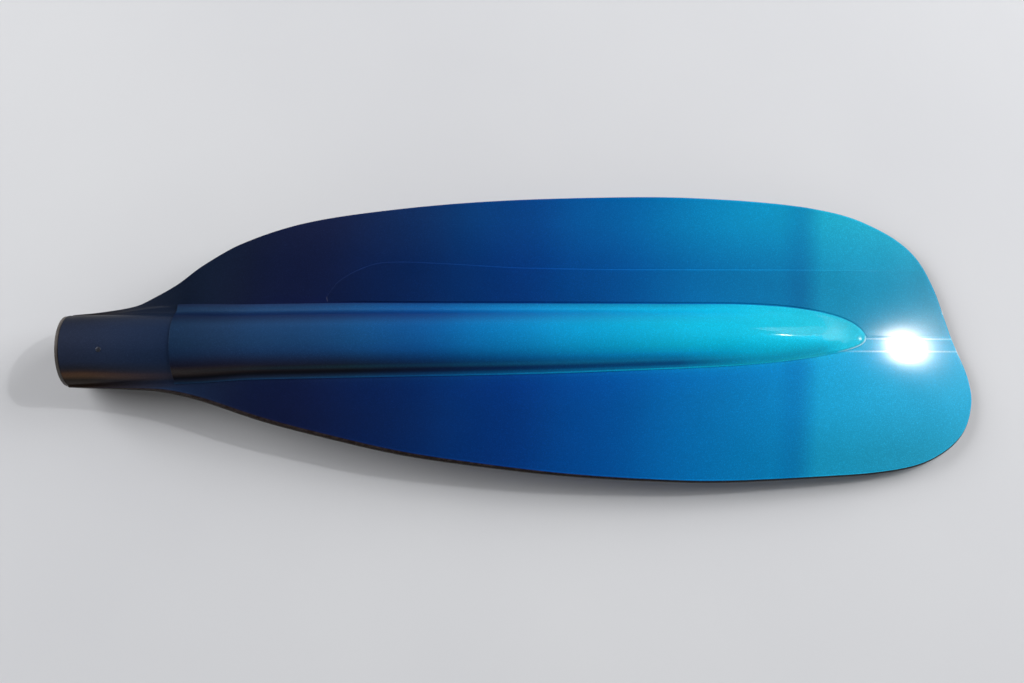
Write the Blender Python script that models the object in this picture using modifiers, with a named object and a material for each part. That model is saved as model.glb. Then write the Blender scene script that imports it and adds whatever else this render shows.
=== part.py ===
"""Blade section of a kayak paddle, lying with its back up.

Two laminate skins close over foam cores and end in a round neck, whose liner takes a shaft. A thin cap covers
the raised spine, a dark rope closes the rim, and a reinforcing ply lies on the far half of the back.

Places are worked out in blade coordinates: s runs along the blade from the neck's mouth, t runs across it
from the neck's axis, positive on the far side, and z is the height over the surface that the blade lies on.
"""
import math

import bmesh
import bpy
from mathutils import Matrix, Vector

MM = 0.001

# Gap between neighbouring pieces
GAP = 0.3 * MM

# Points closer than these are made one, and slopes are read over this step
GRID_WELD = 0.001 * MM
TURNING_WELD = 0.01 * MM
SLOPE_STEP = 0.05 * MM
SHARP_ANGLE = math.radians(50)

# Neck, liner and shaft socket
NECK_RADIUS = 20.7 * MM
BORE_RADIUS = 15.25 * MM
LINER_RADIUS = 19.3 * MM
LINER_LENGTH = 95 * MM
LIP_RADIUS = 20.4 * MM
LIP_LENGTH = 2 * MM
LIP_CHAMFER = 0.6 * MM
PLUG_RADIUS = 19.0 * MM
PLUG_LENGTH = 5 * MM
SPIGOT_RADIUS = 14.9 * MM
SPIGOT_LENGTH = 3 * MM
PIN_RADIUS = 1.5 * MM
PIN_STATION = 25 * MM
PIN_TILT = math.radians(12)
PIN_FOOT = 16.4 * MM
PIN_HEAD = 20.9 * MM

# Wings: they grow out of the neck between two stations
WING_START = 12 * MM
WING_END = 70 * MM
SKIN = 1.0 * MM

# Side view of the panels
CAMBER_START = 110 * MM
TIP_STATION = 522 * MM
TIP_SLANT = 0.25
ROOT_RISE = 4.5 * MM
RIM_THICKNESS = 4.8 * MM
BELLY_THICKNESS = 4.2 * MM
EDGE_DROOP = 4.0 * MM
DROOP_WIDTH = 80 * MM

# Spine on the back: it keeps the neck's round at first, then loses height up to its nose. Its two sides differ in
# their fillet and in the share of their width that is left, given by station in millimetres, and they blend into
# each other over its crown.
SPINE_FAR_FILLET = 9 * MM
SPINE_NEAR_FILLET = 4.5 * MM
SIDE_BLEND = 12 * MM
SPINE_FAR_SHARE = [(110, 1.0), (165, 0.98), (223, 0.935), (311, 0.89), (400, 0.866), (425, 0.886), (469, 0.94)]
SPINE_NEAR_SHARE = [(110, 1.0), (223, 1.0), (280, 0.975), (321, 0.925), (368, 0.85), (404, 0.765), (469, 0.66)]
SPINE_LOWERING = 0.35
SPINE_TAPER_LENGTH = 360 * MM
NOSE_START = 385 * MM
NOSE_LENGTH = 84 * MM

# Fairing of the neck into the wings, and its fading under the power face
FAIRING_FILLET = 6 * MM
FAIRING_START = CAMBER_START
FAIRING_LENGTH = 125 * MM

# Cap over the spine, edge rope and reinforcing ply
CAP_START = 65 * MM
CAP_THICKNESS = 0.8 * MM
ROPE_RADIUS = 1.1 * MM
ROPE_START = 45 * MM
ROPE_OFFSET = -0.3 * MM
PLY_THICKNESS = 0.4 * MM
PLY_START = 157 * MM
PLY_END = 519 * MM
PLY_CLEARANCE = 2.5 * MM

# Foam
SPINE_CORE_START = 102 * MM
PANEL_CORE_START = 88 * MM
CORE_MARGIN = 2.6 * MM
BOND_LINE = 0.5 * MM
CORE_SPLIT = math.radians(0.3)

# Rim in plan, in millimetres along and across, outwards from the neck and then round the tip. Each list runs on
# past the fan's centre by one point, which gives the curves their common slope there.
FAN_CENTRE = 440 * MM
FAR_RIM = [
    (0, 21.3), (20, 22.8), (40, 25.4), (50, 29.6), (64, 37.4), (78, 48.6), (100, 61.9), (135, 74.1),
    (180, 81.5), (240, 87.1), (310, 89.6), (370, 89.3), (440, 83.2), (475, 73.5),
]
NEAR_RIM = [
    (0, 21.3), (20, 22.6), (40, 24), (60, 26.3), (80, 31.4), (115, 43.8), (150, 53.8), (194, 64.7),
    (240, 72.4), (285, 78.2), (330, 81.8), (375, 83.6), (440, 81.6), (468, 79.8),
]
TIP_RIM = [
    (405, 87.2), (440, 83.2), (475, 73.5), (504, 53), (514.8, 30), (519, 12), (523, -5), (529.2, -28), (529.2, -39),
    (521.8, -57), (504.2, -71), (468.3, -79.8), (440, -81.6), (412, -82.8),
]

# Far edge of the reinforcing ply, in millimetres along (measured with the tip's slant) and across
PLY_EDGE = [(156, 25.3), (168, 37.5), (189, 47.2), (206, 48.8), (235, 47.2), (276, 44.3), (347, 42.8), (525, 43)]

# Grid steps: along each arm, round the tip, over the spine's crown and its fillet, and over the panel
ARM_STEPS = 27
TIP_STEPS = 16
CROWN_STEPS = 6
FILLET_STEPS = 3
PANEL_STEPS = 3
ARM_CROWDING = 1.3
PLY_STEPS = (32, 3)
PLY_CROWDING = 1.6
ROPE_RESOLUTION = 2
ROUND_STEPS = 40
PIN_STEPS = 16
BISECTIONS = 40


def smooth_step(x):
    """Rises from 0 to 1 with level ends."""
    x = min(max(x, 0.0), 1.0)
    return x * x * (3 - 2 * x)


def curve_value(points, x):
    """Smooth curve through the points, read at x, with each slope taken from the neighbouring points."""
    last = len(points) - 1
    k = 0
    while k < last - 1 and x > points[k + 1][0]:
        k += 1

    def slope(n):
        before, after = points[max(n - 1, 0)], points[min(n + 1, last)]
        return (after[1] - before[1]) / (after[0] - before[0])

    (x0, y0), (x1, y1) = points[k], points[k + 1]
    width = x1 - x0
    u = (x - x0) / width
    rise = y0 + (y1 - y0) * u * u * (3 - 2 * u)
    return rise + width * u * (1 - u) * ((1 - u) * slope(k) - u * slope(k + 1))


def in_metres(points):
    return [(x * MM, y * MM) for x, y in points]


def tip_polar():
    """The tip's rim as angle and radius about the fan's centre, by rising angle."""
    polar = [(math.atan2(t, s - FAN_CENTRE), math.hypot(s - FAN_CENTRE, t)) for s, t in in_metres(TIP_RIM)]
    return sorted(polar)


FAR_CURVE = in_metres(FAR_RIM)
NEAR_CURVE = in_metres(NEAR_RIM)
TIP_CURVE = tip_polar()
PLY_CURVE = in_metres(PLY_EDGE)
FAR_SHARES = [(x * MM, share) for x, share in SPINE_FAR_SHARE]
NEAR_SHARES = [(x * MM, share) for x, share in SPINE_NEAR_SHARE]


def rim_distance(s, t):
    """Distance to the rim: across the blade beside the spine, and from the fan's centre round the tip."""
    if s > FAN_CENTRE:
        return curve_value(TIP_CURVE, math.atan2(t, s - FAN_CENTRE))
    return curve_value(FAR_CURVE if t >= 0 else NEAR_CURVE, s)


def rim_share(s, t):
    """0 on the centre line, 1 on the rim."""
    reach = math.hypot(s - FAN_CENTRE, t) if s > FAN_CENTRE else abs(t)
    return reach / rim_distance(s, t)


def wing_growth(s):
    """0 on the plain neck, 1 where the wings have their full thickness."""
    return smooth_step((s - WING_START) / (WING_END - WING_START))


def rim_half_thickness(s):
    """Half the rim's thickness: on the plain neck the two skins meet at the seam."""
    seam = SKIN + GAP / 2
    return seam + (RIM_THICKNESS / 2 - seam) * wing_growth(s)


def camber_share(s, t):
    """0 up to the blade's root, 1 along the slanted tip."""
    return min(max((s + TIP_SLANT * t - CAMBER_START) / (TIP_STATION - CAMBER_START), 0.0), 1.0)


def mid_height(s, t):
    """Height of the middle of the panels, which rises from the neck's axis and curves down to the tip."""
    share = camber_share(s, t)
    root = NECK_RADIUS + ROOT_RISE * wing_growth(s)
    fall = NECK_RADIUS + ROOT_RISE - RIM_THICKNESS / 2
    droop = EDGE_DROOP * wing_growth(s) * max(1 - share ** 3, 0) * (t / DROOP_WIDTH) ** 2
    return root - fall * share ** 2 - droop


def half_thickness(s, t):
    """Half the panel's thickness, with a belly along the spine."""
    belly = BELLY_THICKNESS / 2 * smooth_step((s - WING_END) / (CAMBER_START - WING_END))
    belly = belly * (1 - camber_share(s, t) ** 2)
    return rim_half_thickness(s) + belly * (1 - rim_share(s, t) ** 2)


def arch(x, width, height, fillet):
    """Height at x from the middle of a round crown that meets level ground in a fillet."""
    reach = (width ** 2 + height ** 2) / (2 * height)
    crown = reach - fillet
    x = min(abs(x), width)
    if x < width * crown / reach:
        return math.sqrt(crown ** 2 - x ** 2) - crown + height
    return fillet - math.sqrt(fillet ** 2 - (width - x) ** 2)


def neck_arch(s, height, full_fillet):
    """Half width, height and fillet of the neck's own round, standing that high over its growing wings."""
    fillet = GAP + (full_fillet - GAP) * wing_growth(s)
    width = math.sqrt(2 * height * (NECK_RADIUS + fillet) - height ** 2)
    return width, height, fillet


def between_sides(near, far, t):
    """A value of the spine's near side or of its far side, blended over the crown."""
    return near + (far - near) * smooth_step((t / SIDE_BLEND + 1) / 2)


def spine_arch(s, t):
    """Half width, height and fillet of the spine over the back, at a station and on the side where t lies."""
    root, blade = min(s, CAMBER_START), max(s, CAMBER_START)
    wing_top = mid_height(root, 0) + half_thickness(root, 0)
    full_fillet = between_sides(SPINE_NEAR_FILLET, SPINE_FAR_FILLET, t)
    width, height, fillet = neck_arch(root, 2 * NECK_RADIUS - wing_top, full_fillet)
    share = between_sides(curve_value(NEAR_SHARES, blade), curve_value(FAR_SHARES, blade), t)
    taper = (blade - CAMBER_START) / SPINE_TAPER_LENGTH
    return width * share, height * (1 - SPINE_LOWERING * taper), fillet * share


def fairing_arch(s):
    """Half width, depth and fillet of the neck's round under the power face."""
    root = min(s, FAIRING_START)
    return neck_arch(root, mid_height(root, 0) - half_thickness(root, 0), FAIRING_FILLET)


def top_height(s, t):
    """Height of the back's outer surface."""
    width, height, fillet = spine_arch(s, t)
    share = math.hypot(t / width, max(s - NOSE_START, 0) / NOSE_LENGTH)
    panel = mid_height(s, t) + half_thickness(s, t)
    return panel + arch(share * width, width, height, fillet)


def low_height(s, t):
    """Height of the power face's outer surface."""
    width, depth, fillet = fairing_arch(s)
    share = math.hypot(t / width, max(s - FAIRING_START, 0) / FAIRING_LENGTH)
    panel = mid_height(s, t) - half_thickness(s, t)
    return panel - arch(share * width, width, depth, fillet)


def raised(height, s, t, distance):
    """The point that distance over a surface, square to it."""
    along = (height(s + SLOPE_STEP, t) - height(s - SLOPE_STEP, t)) / (2 * SLOPE_STEP)
    across = (height(s, t + SLOPE_STEP) - height(s, t - SLOPE_STEP)) / (2 * SLOPE_STEP)
    return Vector((s, t, height(s, t))) + distance * Vector((-along, -across, 1)).normalized()


class Ray:
    """A line in plan from a station on the centre line out to the rim."""

    def __init__(self, station, angle):
        self.station = station
        self.angle = angle

    def point(self, distance):
        return self.station + distance * math.cos(self.angle), distance * math.sin(self.angle)

    def spine_arch(self):
        return spine_arch(self.station, SIDE_BLEND * math.sin(self.angle))

    def rim(self):
        if self.station < FAN_CENTRE:
            return curve_value(FAR_CURVE if self.angle > 0 else NEAR_CURVE, self.station)
        return curve_value(TIP_CURVE, self.angle)

    def foot(self, widening=1.0):
        """Distance to the spine's foot, found by halving, with the spine taken as that many times as wide."""
        inside, outside = 0.0, self.rim()
        for _ in range(BISECTIONS):
            middle = (inside + outside) / 2
            s, t = self.point(middle)
            nose = max(s - NOSE_START, 0) / NOSE_LENGTH
            if math.hypot(t / (widening * spine_arch(s, t)[0]), nose) < 1:
                inside = middle
            else:
                outside = middle
        return inside

    def spine_crossings(self, foot, arch_shape):
        """Distances from the centre line to the spine's foot, at even turns of its crown and then its fillet."""
        width, height, fillet = arch_shape
        reach = (width ** 2 + height ** 2) / (2 * height)
        steepest = math.asin(min(width / reach, 1))
        crown = [(reach - fillet) * math.sin(steepest * k / CROWN_STEPS) for k in range(CROWN_STEPS + 1)]
        hollow = [width - fillet * math.sin(steepest * (1 - k / FILLET_STEPS)) for k in range(1, FILLET_STEPS + 1)]
        return [foot * x / width for x in crown + hollow]


def arm_stations(start):
    """A start, and the stations past it that all pieces share, which lie closer together towards the neck."""
    first = LIP_LENGTH + GAP
    shared = [first + (FAN_CENTRE - first) * (k / ARM_STEPS) ** ARM_CROWDING for k in range(ARM_STEPS)]
    return [start] + [s for s in shared if s > start + MM]


def tip_angles(first=math.pi / 2, last=-math.pi / 2, steps=TIP_STEPS):
    return [first + (last - first) * k / steps for k in range(steps + 1)]


def rays_round(start):
    """Rays down the far side from a start, round the tip, and back up the near side."""
    far = [Ray(s, math.pi / 2) for s in arm_stations(start)]
    tip = [Ray(FAN_CENTRE, angle) for angle in tip_angles()]
    near = [Ray(s, -math.pi / 2) for s in reversed(arm_stations(start))]
    return far + tip + near


def even_steps(start, end, steps):
    return [start + (end - start) * k / steps for k in range(1, steps + 1)]


def top_crossings(ray):
    """Distances along a ray for the back: over the spine, then over the panel to the rim."""
    foot = ray.foot()
    return ray.spine_crossings(foot, ray.spine_arch()) + even_steps(foot, ray.rim(), PANEL_STEPS)


def fairing_foot(ray):
    """Distance to the foot of the neck's fairing on the power face, which is wider than the spine."""
    root = Ray(min(ray.station, FAIRING_START), ray.angle)
    return ray.foot(fairing_arch(root.station)[0] / root.spine_arch()[0])


def low_crossings(ray):
    """Distances along a ray for the power face."""
    foot = fairing_foot(ray)
    return ray.spine_crossings(foot, fairing_arch(ray.station)) + even_steps(foot, ray.rim(), PANEL_STEPS)


def cap_crossings(ray):
    """Distances along a ray over the spine alone."""
    return ray.spine_crossings(ray.foot(), ray.spine_arch())


def spine_core_crossings(ray):
    """Distances along a ray for the foam under the spine, up to the fairing's foot."""
    return ray.spine_crossings(fairing_foot(ray) - GAP / 2, fairing_arch(ray.station))


def panel_core_crossings(ray):
    """Distances along a ray for a panel's foam, clear of the spine's foam and of the rope."""
    start = fairing_foot(ray) + GAP / 2
    return [start] + even_steps(start, ray.rim() - CORE_MARGIN, PANEL_STEPS)


def plan_grid(lines):
    """A grid in plan through lines of points, with the points that coincide on the centre line made one."""
    mesh = bmesh.new()
    columns, rows = len(lines) - 1, len(lines[0]) - 1
    bmesh.ops.create_grid(mesh, x_segments=columns, y_segments=rows, size=1)
    for vertex in mesh.verts:
        column = round((vertex.co.x + 1) / 2 * columns)
        row = round((vertex.co.y + 1) / 2 * rows)
        s, t = lines[column][row]
        vertex.co = (s, t, 0)
    bmesh.ops.remove_doubles(mesh, verts=mesh.verts, dist=GRID_WELD)
    bmesh.ops.recalc_face_normals(mesh, faces=mesh.faces)
    if mesh.faces[:][0].normal.z < 0:
        bmesh.ops.reverse_faces(mesh, faces=mesh.faces)
    return mesh


def drape(vertices, surface):
    for vertex in vertices:
        vertex.co = surface(vertex.co.x, vertex.co.y)


def paint(name, colour, roughness, metallic=0.0):
    """A plain Principled material."""
    material = bpy.data.materials.new(name)
    material.use_nodes = True
    shader = material.node_tree.nodes["Principled BSDF"]
    shader.inputs["Base Color"].default_value = (*colour, 1)
    shader.inputs["Roughness"].default_value = roughness
    shader.inputs["Metallic"].default_value = metallic
    return material


def new_collection(name):
    collection = bpy.data.collections.new(name)
    bpy.context.scene.collection.children.link(collection)
    return collection


class Assembly:
    """The blade's collection, its cutters' collection, and the empty that carries both at the blade's origin."""

    def __init__(self):
        self.parts = new_collection("kayak_paddle_blade")
        self.cutters = new_collection("cutters")
        outline = [ray.point(ray.rim() + ROPE_OFFSET + ROPE_RADIUS) for ray in rays_round(LIP_LENGTH)]
        reach = max(s for s, t in outline)
        far, near = max(t for s, t in outline), min(t for s, t in outline)
        self.frame = bpy.data.objects.new("blade_frame", None)
        self.frame.location = (-reach / 2, -(far + near) / 2, 0)
        self.parts.objects.link(self.frame)

    def add(self, name, data, material):
        piece = bpy.data.objects.new(name, data)
        data.materials.append(material)
        piece.parent = self.frame
        self.parts.objects.link(piece)
        return piece

    def add_mesh(self, name, mesh, material):
        data = bpy.data.meshes.new(name)
        mesh.to_mesh(data)
        mesh.free()
        data.shade_smooth()
        data.set_sharp_from_angle(angle=SHARP_ANGLE)
        return self.add(name, data, material)

    def add_cutter(self, name, mesh):
        data = bpy.data.meshes.new(name)
        mesh.to_mesh(data)
        mesh.free()
        cutter = bpy.data.objects.new(name, data)
        cutter.parent = self.frame
        cutter.hide_render = True
        cutter.display_type = "WIRE"
        self.cutters.objects.link(cutter)
        return cutter


def thicken(piece, thickness):
    """Gives an open surface its thickness, inwards from its outer side."""
    solidify = piece.modifiers.new("thickness", "SOLIDIFY")
    solidify.thickness = thickness
    solidify.offset = -1
    solidify.use_even_offset = True


def cut(piece, cutter):
    boolean = piece.modifiers.new("cut", "BOOLEAN")
    boolean.operation = "DIFFERENCE"
    boolean.object = cutter


def turned(assembly, name, profile, station, material):
    """A round piece from its profile of radius and depth, turned about the neck's axis."""
    data = bpy.data.meshes.new(name)
    corners = [(radius, 0, -depth) for radius, depth in profile]
    closed = profile[0][0] > 0
    edges = [(k, k + 1) for k in range(len(corners) - 1)] + ([(len(corners) - 1, 0)] if closed else [])
    data.from_pydata(corners, edges, [])
    piece = assembly.add(name, data, material)
    screw = piece.modifiers.new("turning", "SCREW")
    screw.steps = screw.render_steps = ROUND_STEPS
    screw.use_merge_vertices = True
    screw.merge_threshold = TURNING_WELD
    piece.rotation_euler = (0, math.radians(-90), 0)
    piece.location = (station, 0, NECK_RADIUS)
    return piece


def make_back_skin(assembly):
    mesh = plan_grid([[ray.point(d) for d in top_crossings(ray)] for ray in rays_round(LIP_LENGTH + GAP)])
    drape(mesh.verts, lambda s, t: (s, t, top_height(s, t)))
    skin = assembly.add_mesh("back_skin", mesh, paint("back_paint", (0.01, 0.1, 0.3), 0.25))
    thicken(skin, SKIN)
    return skin


def make_face_skin(assembly):
    mesh = plan_grid([[ray.point(d) for d in low_crossings(ray)] for ray in rays_round(LIP_LENGTH + GAP)])
    drape(mesh.verts, lambda s, t: (s, t, low_height(s, t)))
    bmesh.ops.reverse_faces(mesh, faces=mesh.faces)
    skin = assembly.add_mesh("face_skin", mesh, paint("face_paint", (0.01, 0.06, 0.18), 0.3))
    thicken(skin, SKIN)


def make_spine_cap(assembly):
    mesh = plan_grid([[ray.point(d) for d in cap_crossings(ray)] for ray in rays_round(CAP_START)])
    drape(mesh.verts, lambda s, t: raised(top_height, s, t, GAP + CAP_THICKNESS))
    cap = assembly.add_mesh("spine_cap", mesh, paint("spine_paint", (0.02, 0.3, 0.6), 0.2))
    thicken(cap, CAP_THICKNESS)


def ply_inner_edge(station):
    """Distance across from the centre line to the ply's near edge, which passes clear round the spine's nose."""
    t = 0.0
    for _ in range(BISECTIONS):
        s = station - TIP_SLANT * t
        nose = min(max(s - NOSE_START, 0) / (NOSE_LENGTH + PLY_CLEARANCE), 1)
        t = (t + (spine_arch(s, t)[0] + PLY_CLEARANCE) * math.sqrt(1 - nose ** 2)) / 2
    return t


def make_reinforcing_ply(assembly):
    columns, rows = PLY_STEPS
    lines = []
    for k in range(columns + 1):
        station = PLY_START + (PLY_END - PLY_START) * (1 - (1 - k / columns) ** PLY_CROWDING)
        inner = ply_inner_edge(station)
        outer = curve_value(PLY_CURVE, station)
        across = [inner] + even_steps(inner, outer, rows)
        lines.append([(station - TIP_SLANT * t, t) for t in across])
    mesh = plan_grid(lines)
    drape(mesh.verts, lambda s, t: raised(top_height, s, t, GAP + PLY_THICKNESS))
    ply = assembly.add_mesh("reinforcing_ply", mesh, paint("ply_paint", (0.01, 0.11, 0.32), 0.25))
    thicken(ply, PLY_THICKNESS)


def make_edge_rope(assembly):
    """A rope round the rim, nested between the two skins and thinner where they close on the neck."""
    path = rays_round(ROPE_START)
    data = bpy.data.curves.new("edge_bead", "CURVE")
    data.dimensions = "3D"
    data.bevel_depth = ROPE_RADIUS
    data.bevel_resolution = ROPE_RESOLUTION
    data.use_fill_caps = True
    spline = data.splines.new("POLY")
    spline.points.add(len(path) - 1)
    for ray, point in zip(path, spline.points):
        s, t = ray.point(ray.rim() + ROPE_OFFSET)
        point.co = (s, t, mid_height(*ray.point(ray.rim())), 1)
        room = rim_half_thickness(ray.station) - SKIN - GAP
        point.radius = min(room / ROPE_RADIUS, 1)
    assembly.add("edge_bead", data, paint("rope", (0.02, 0.015, 0.012), 0.5))


def make_core(assembly, name, lines):
    """A block of foam that fills the space between the skins over a grid in plan."""
    mesh = plan_grid(lines)
    top = list(mesh.verts)
    extruded = bmesh.ops.extrude_face_region(mesh, geom=mesh.faces[:])["geom"]
    bottom = [item for item in extruded if isinstance(item, bmesh.types.BMVert)]
    drape(top, lambda s, t: raised(top_height, s, t, -SKIN - BOND_LINE))
    drape(bottom, lambda s, t: raised(low_height, s, t, SKIN + BOND_LINE))
    bmesh.ops.recalc_face_normals(mesh, faces=mesh.faces)
    assembly.add_mesh(name, mesh, paint(name + "_foam", (0.75, 0.7, 0.55), 0.9))


def make_cores(assembly):
    spine = [[ray.point(d) for d in spine_core_crossings(ray)] for ray in rays_round(SPINE_CORE_START)]
    make_core(assembly, "spine_core", spine)
    half_tip = TIP_STEPS // 2
    for name, side in (("upper_core", 1), ("lower_core", -1)):
        arm = [Ray(s, side * math.pi / 2) for s in arm_stations(PANEL_CORE_START)]
        tip = [Ray(FAN_CENTRE, angle) for angle in tip_angles(side * math.pi / 2, side * CORE_SPLIT, half_tip)]
        make_core(assembly, name, [[ray.point(d) for d in panel_core_crossings(ray)] for ray in arm + tip])


def make_liner(assembly):
    """The turned liner of the neck, with the lip that covers the skins' ends, and the plug at its inner end."""
    plastic = paint("liner", (0.18, 0.18, 0.19), 0.45)
    liner = turned(assembly, "socket_sleeve", [
        (BORE_RADIUS + LIP_CHAMFER, 0), (LIP_RADIUS - LIP_CHAMFER, 0), (LIP_RADIUS, LIP_CHAMFER),
        (LIP_RADIUS, LIP_LENGTH), (LINER_RADIUS, LIP_LENGTH), (LINER_RADIUS, LINER_LENGTH),
        (BORE_RADIUS, LINER_LENGTH), (BORE_RADIUS, LIP_CHAMFER),
    ], 0, plastic)
    turned(assembly, "sleeve_plug", [
        (0, -SPIGOT_LENGTH), (SPIGOT_RADIUS, -SPIGOT_LENGTH), (SPIGOT_RADIUS, 0), (PLUG_RADIUS, 0),
        (PLUG_RADIUS, PLUG_LENGTH), (0, PLUG_LENGTH),
    ], LINER_LENGTH + GAP, plastic)
    return liner


def pin_mesh(radius, foot, head):
    """A round bar across the neck, from one distance from its axis to another, leaning to the near side."""
    mesh = bmesh.new()
    lean = Matrix.Rotation(PIN_TILT, 4, "X")
    place = Matrix.Translation((PIN_STATION, 0, NECK_RADIUS)) @ lean @ Matrix.Translation((0, 0, (foot + head) / 2))
    bmesh.ops.create_cone(
        mesh, cap_ends=True, segments=PIN_STEPS, radius1=radius, radius2=radius, depth=head - foot, matrix=place,
    )
    return mesh


def make_pin(assembly, skin, liner):
    assembly.add_mesh("sleeve_pin", pin_mesh(PIN_RADIUS, PIN_FOOT, PIN_HEAD), paint("pin", (0.5, 0.5, 0.5), 0.4, 1))
    hole = assembly.add_cutter("pin_hole", pin_mesh(PIN_RADIUS + GAP, PIN_FOOT - GAP, PIN_HEAD + SKIN))
    cut(skin, hole)
    cut(liner, hole)


def main():
    for old in list(bpy.data.objects):
        bpy.data.objects.remove(old)
    assembly = Assembly()
    skin = make_back_skin(assembly)
    make_face_skin(assembly)
    make_spine_cap(assembly)
    make_reinforcing_ply(assembly)
    make_edge_rope(assembly)
    make_cores(assembly)
    liner = make_liner(assembly)
    make_pin(assembly, skin, liner)


main()
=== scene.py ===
"""Looks of the kayak paddle blade: fine skins, spine cap, ply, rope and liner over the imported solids, with
their paint, on a pale floor under soft lamps.

Shapes are worked out in blade coordinates, in millimetres: s runs along the blade from the neck's mouth, t
across it from the neck's axis, positive on the far side, and z upwards. in_frame() turns them into the frame's
metres. Paint is placed by the frame's x and y in metres, or by marks that a piece carries on its points.
"""
import math

import bmesh
import bpy
import numpy as np
from mathutils import Matrix, Vector


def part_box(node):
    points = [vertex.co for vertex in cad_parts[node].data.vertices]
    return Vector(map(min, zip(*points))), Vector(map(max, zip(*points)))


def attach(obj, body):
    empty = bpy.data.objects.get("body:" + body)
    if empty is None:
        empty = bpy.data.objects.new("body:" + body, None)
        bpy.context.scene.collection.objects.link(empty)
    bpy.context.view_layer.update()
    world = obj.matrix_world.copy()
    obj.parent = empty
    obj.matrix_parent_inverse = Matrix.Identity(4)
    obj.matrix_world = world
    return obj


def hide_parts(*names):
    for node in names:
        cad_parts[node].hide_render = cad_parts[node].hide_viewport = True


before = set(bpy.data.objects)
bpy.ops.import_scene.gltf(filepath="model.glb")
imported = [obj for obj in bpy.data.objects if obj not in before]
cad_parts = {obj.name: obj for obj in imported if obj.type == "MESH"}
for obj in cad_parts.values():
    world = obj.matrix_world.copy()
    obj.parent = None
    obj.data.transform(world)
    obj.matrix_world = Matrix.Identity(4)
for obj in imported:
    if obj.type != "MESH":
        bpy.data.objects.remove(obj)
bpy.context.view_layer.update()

# Neck, liner, plug and pin
GAP = 0.3
NECK_RADIUS = 20.7
BORE_RADIUS = 15.25
LINER_RADIUS = 19.3
LINER_LENGTH = 95
LIP_RADIUS = 20.4
LIP_LENGTH = 2
PLUG_RADIUS = 19
PLUG_LENGTH = 5
SPIGOT_RADIUS = 14.9
SPIGOT_LENGTH = 3
PIN_RADIUS = 1.5
PIN_STATION = 25
PIN_TILT = math.radians(12)
PIN_FOOT = 16.4
PIN_HEAD = 20.9
ROUNDING = 0.45

# Wings and panels
WING_START, WING_END = 12, 70
SKIN = 1.0
CAMBER_START, TIP_STATION, TIP_SLANT = 110, 522, 0.25
ROOT_RISE = 4.5
RIM_THICKNESS = 4.8
BELLY_THICKNESS = 4.2
EDGE_DROOP, DROOP_WIDTH = 4, 80
EDGE_ROUNDING = 0.35

# Spine and the neck's fairing; the shares are of the spine's width at the root, by station
SPINE_FAR_FILLET, SPINE_NEAR_FILLET, SIDE_BLEND = 9, 4.5, 12
SPINE_FAR_SHARE = [
    (110, 1.0), (165, 0.98), (223, 0.935), (311, 0.89), (400, 0.866), (425, 0.886), (469, 0.94),
]
SPINE_NEAR_SHARE = [
    (110, 1.0), (223, 1.0), (280, 0.975), (321, 0.925), (368, 0.85), (404, 0.765), (469, 0.66),
]
SPINE_LOWERING, SPINE_TAPER_LENGTH = 0.35, 360
NOSE_START, NOSE_LENGTH = 385, 84
FAIRING_FILLET = 6
FAIRING_LENGTH = 125

# Cap, rope and ply
CAP_START = 65
CAP_THICKNESS = 0.8
CAP_BEDDING = 0.25
CAP_THINNING, THINNING_WIDTH = 0.65, 2.2
ROPE_RADIUS = 1.1
ROPE_START = 45
ROPE_OFFSET = -0.3
PLY_START, PLY_END = 157, 519
PLY_HEIGHT = 0.4
PLY_BEDDING = 0.15
PLY_BEVEL = 0.9
PLY_CLEARANCE = 0.35
PLY_FEATHERING, PLY_START_FEATHERING, PLY_START_SHARE = 120, 30, 0.15

# Rim in plan, along and across, outwards from the neck and then round the tip; the painted shade band's width
# by the near rim; and the ply's far edge
FAN_CENTRE = 440
FAR_RIM = [
    (0, 21.3), (20, 22.8), (40, 25.4), (50, 29.6), (64, 37.4), (78, 48.6), (100, 61.9), (135, 74.1),
    (180, 81.5), (240, 87.1), (310, 89.6), (370, 89.3), (440, 83.2), (475, 73.5),
]
NEAR_RIM = [
    (0, 21.3), (20, 22.6), (40, 24), (60, 26.3), (80, 31.4), (115, 43.8), (150, 53.8), (194, 64.7),
    (240, 72.4), (285, 78.2), (330, 81.8), (375, 83.6), (440, 81.6), (468, 79.8),
]
TIP_RIM = [
    (405, 87.2), (440, 83.2), (475, 73.5), (504, 53), (514.8, 30), (519, 12), (523, -5), (529.2, -28),
    (529.2, -39), (521.8, -57), (504.2, -71), (468.3, -79.8), (440, -81.6), (412, -82.8),
]
NEAR_SHADE_BAND = [
    (0, -0.4), (45, 0.6), (80, 1.2), (130, 1.3), (230, 1.0), (330, 0.3), (430, -0.1), (480, -0.4), (560, -0.6),
]
FAR_SHADE_BAND = -0.1
PLY_EDGE = [
    (156, 25.3), (168, 37.5), (189, 47.2), (206, 48.8), (235, 47.2), (276, 44.3), (347, 42.8), (525, 43),
]

# Grid steps of the fine surfaces
ARM_STEPS, TIP_STEPS = 200, 110
CROWN_STEPS, FILLET_STEPS, PANEL_STEPS, EDGE_STEPS = 16, 8, 18, 7
EDGE_STRIP = 2.8
CROWDING = 1.2
PLY_COLUMNS, PLY_CROWDING = 260, 1.3
PLY_EDGE_ROWS, PLY_MIDDLE_ROWS, PLY_EDGE_SHARE = 8, 25, 0.04
ROPE_SIDES = 14
ROUND_STEPS = 160
BEVEL_STEPS, BEVEL_ANGLE = 3, math.radians(50)
HALVINGS = 34
SLOPE_STEP = 0.05
WELD = 1e-6

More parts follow.
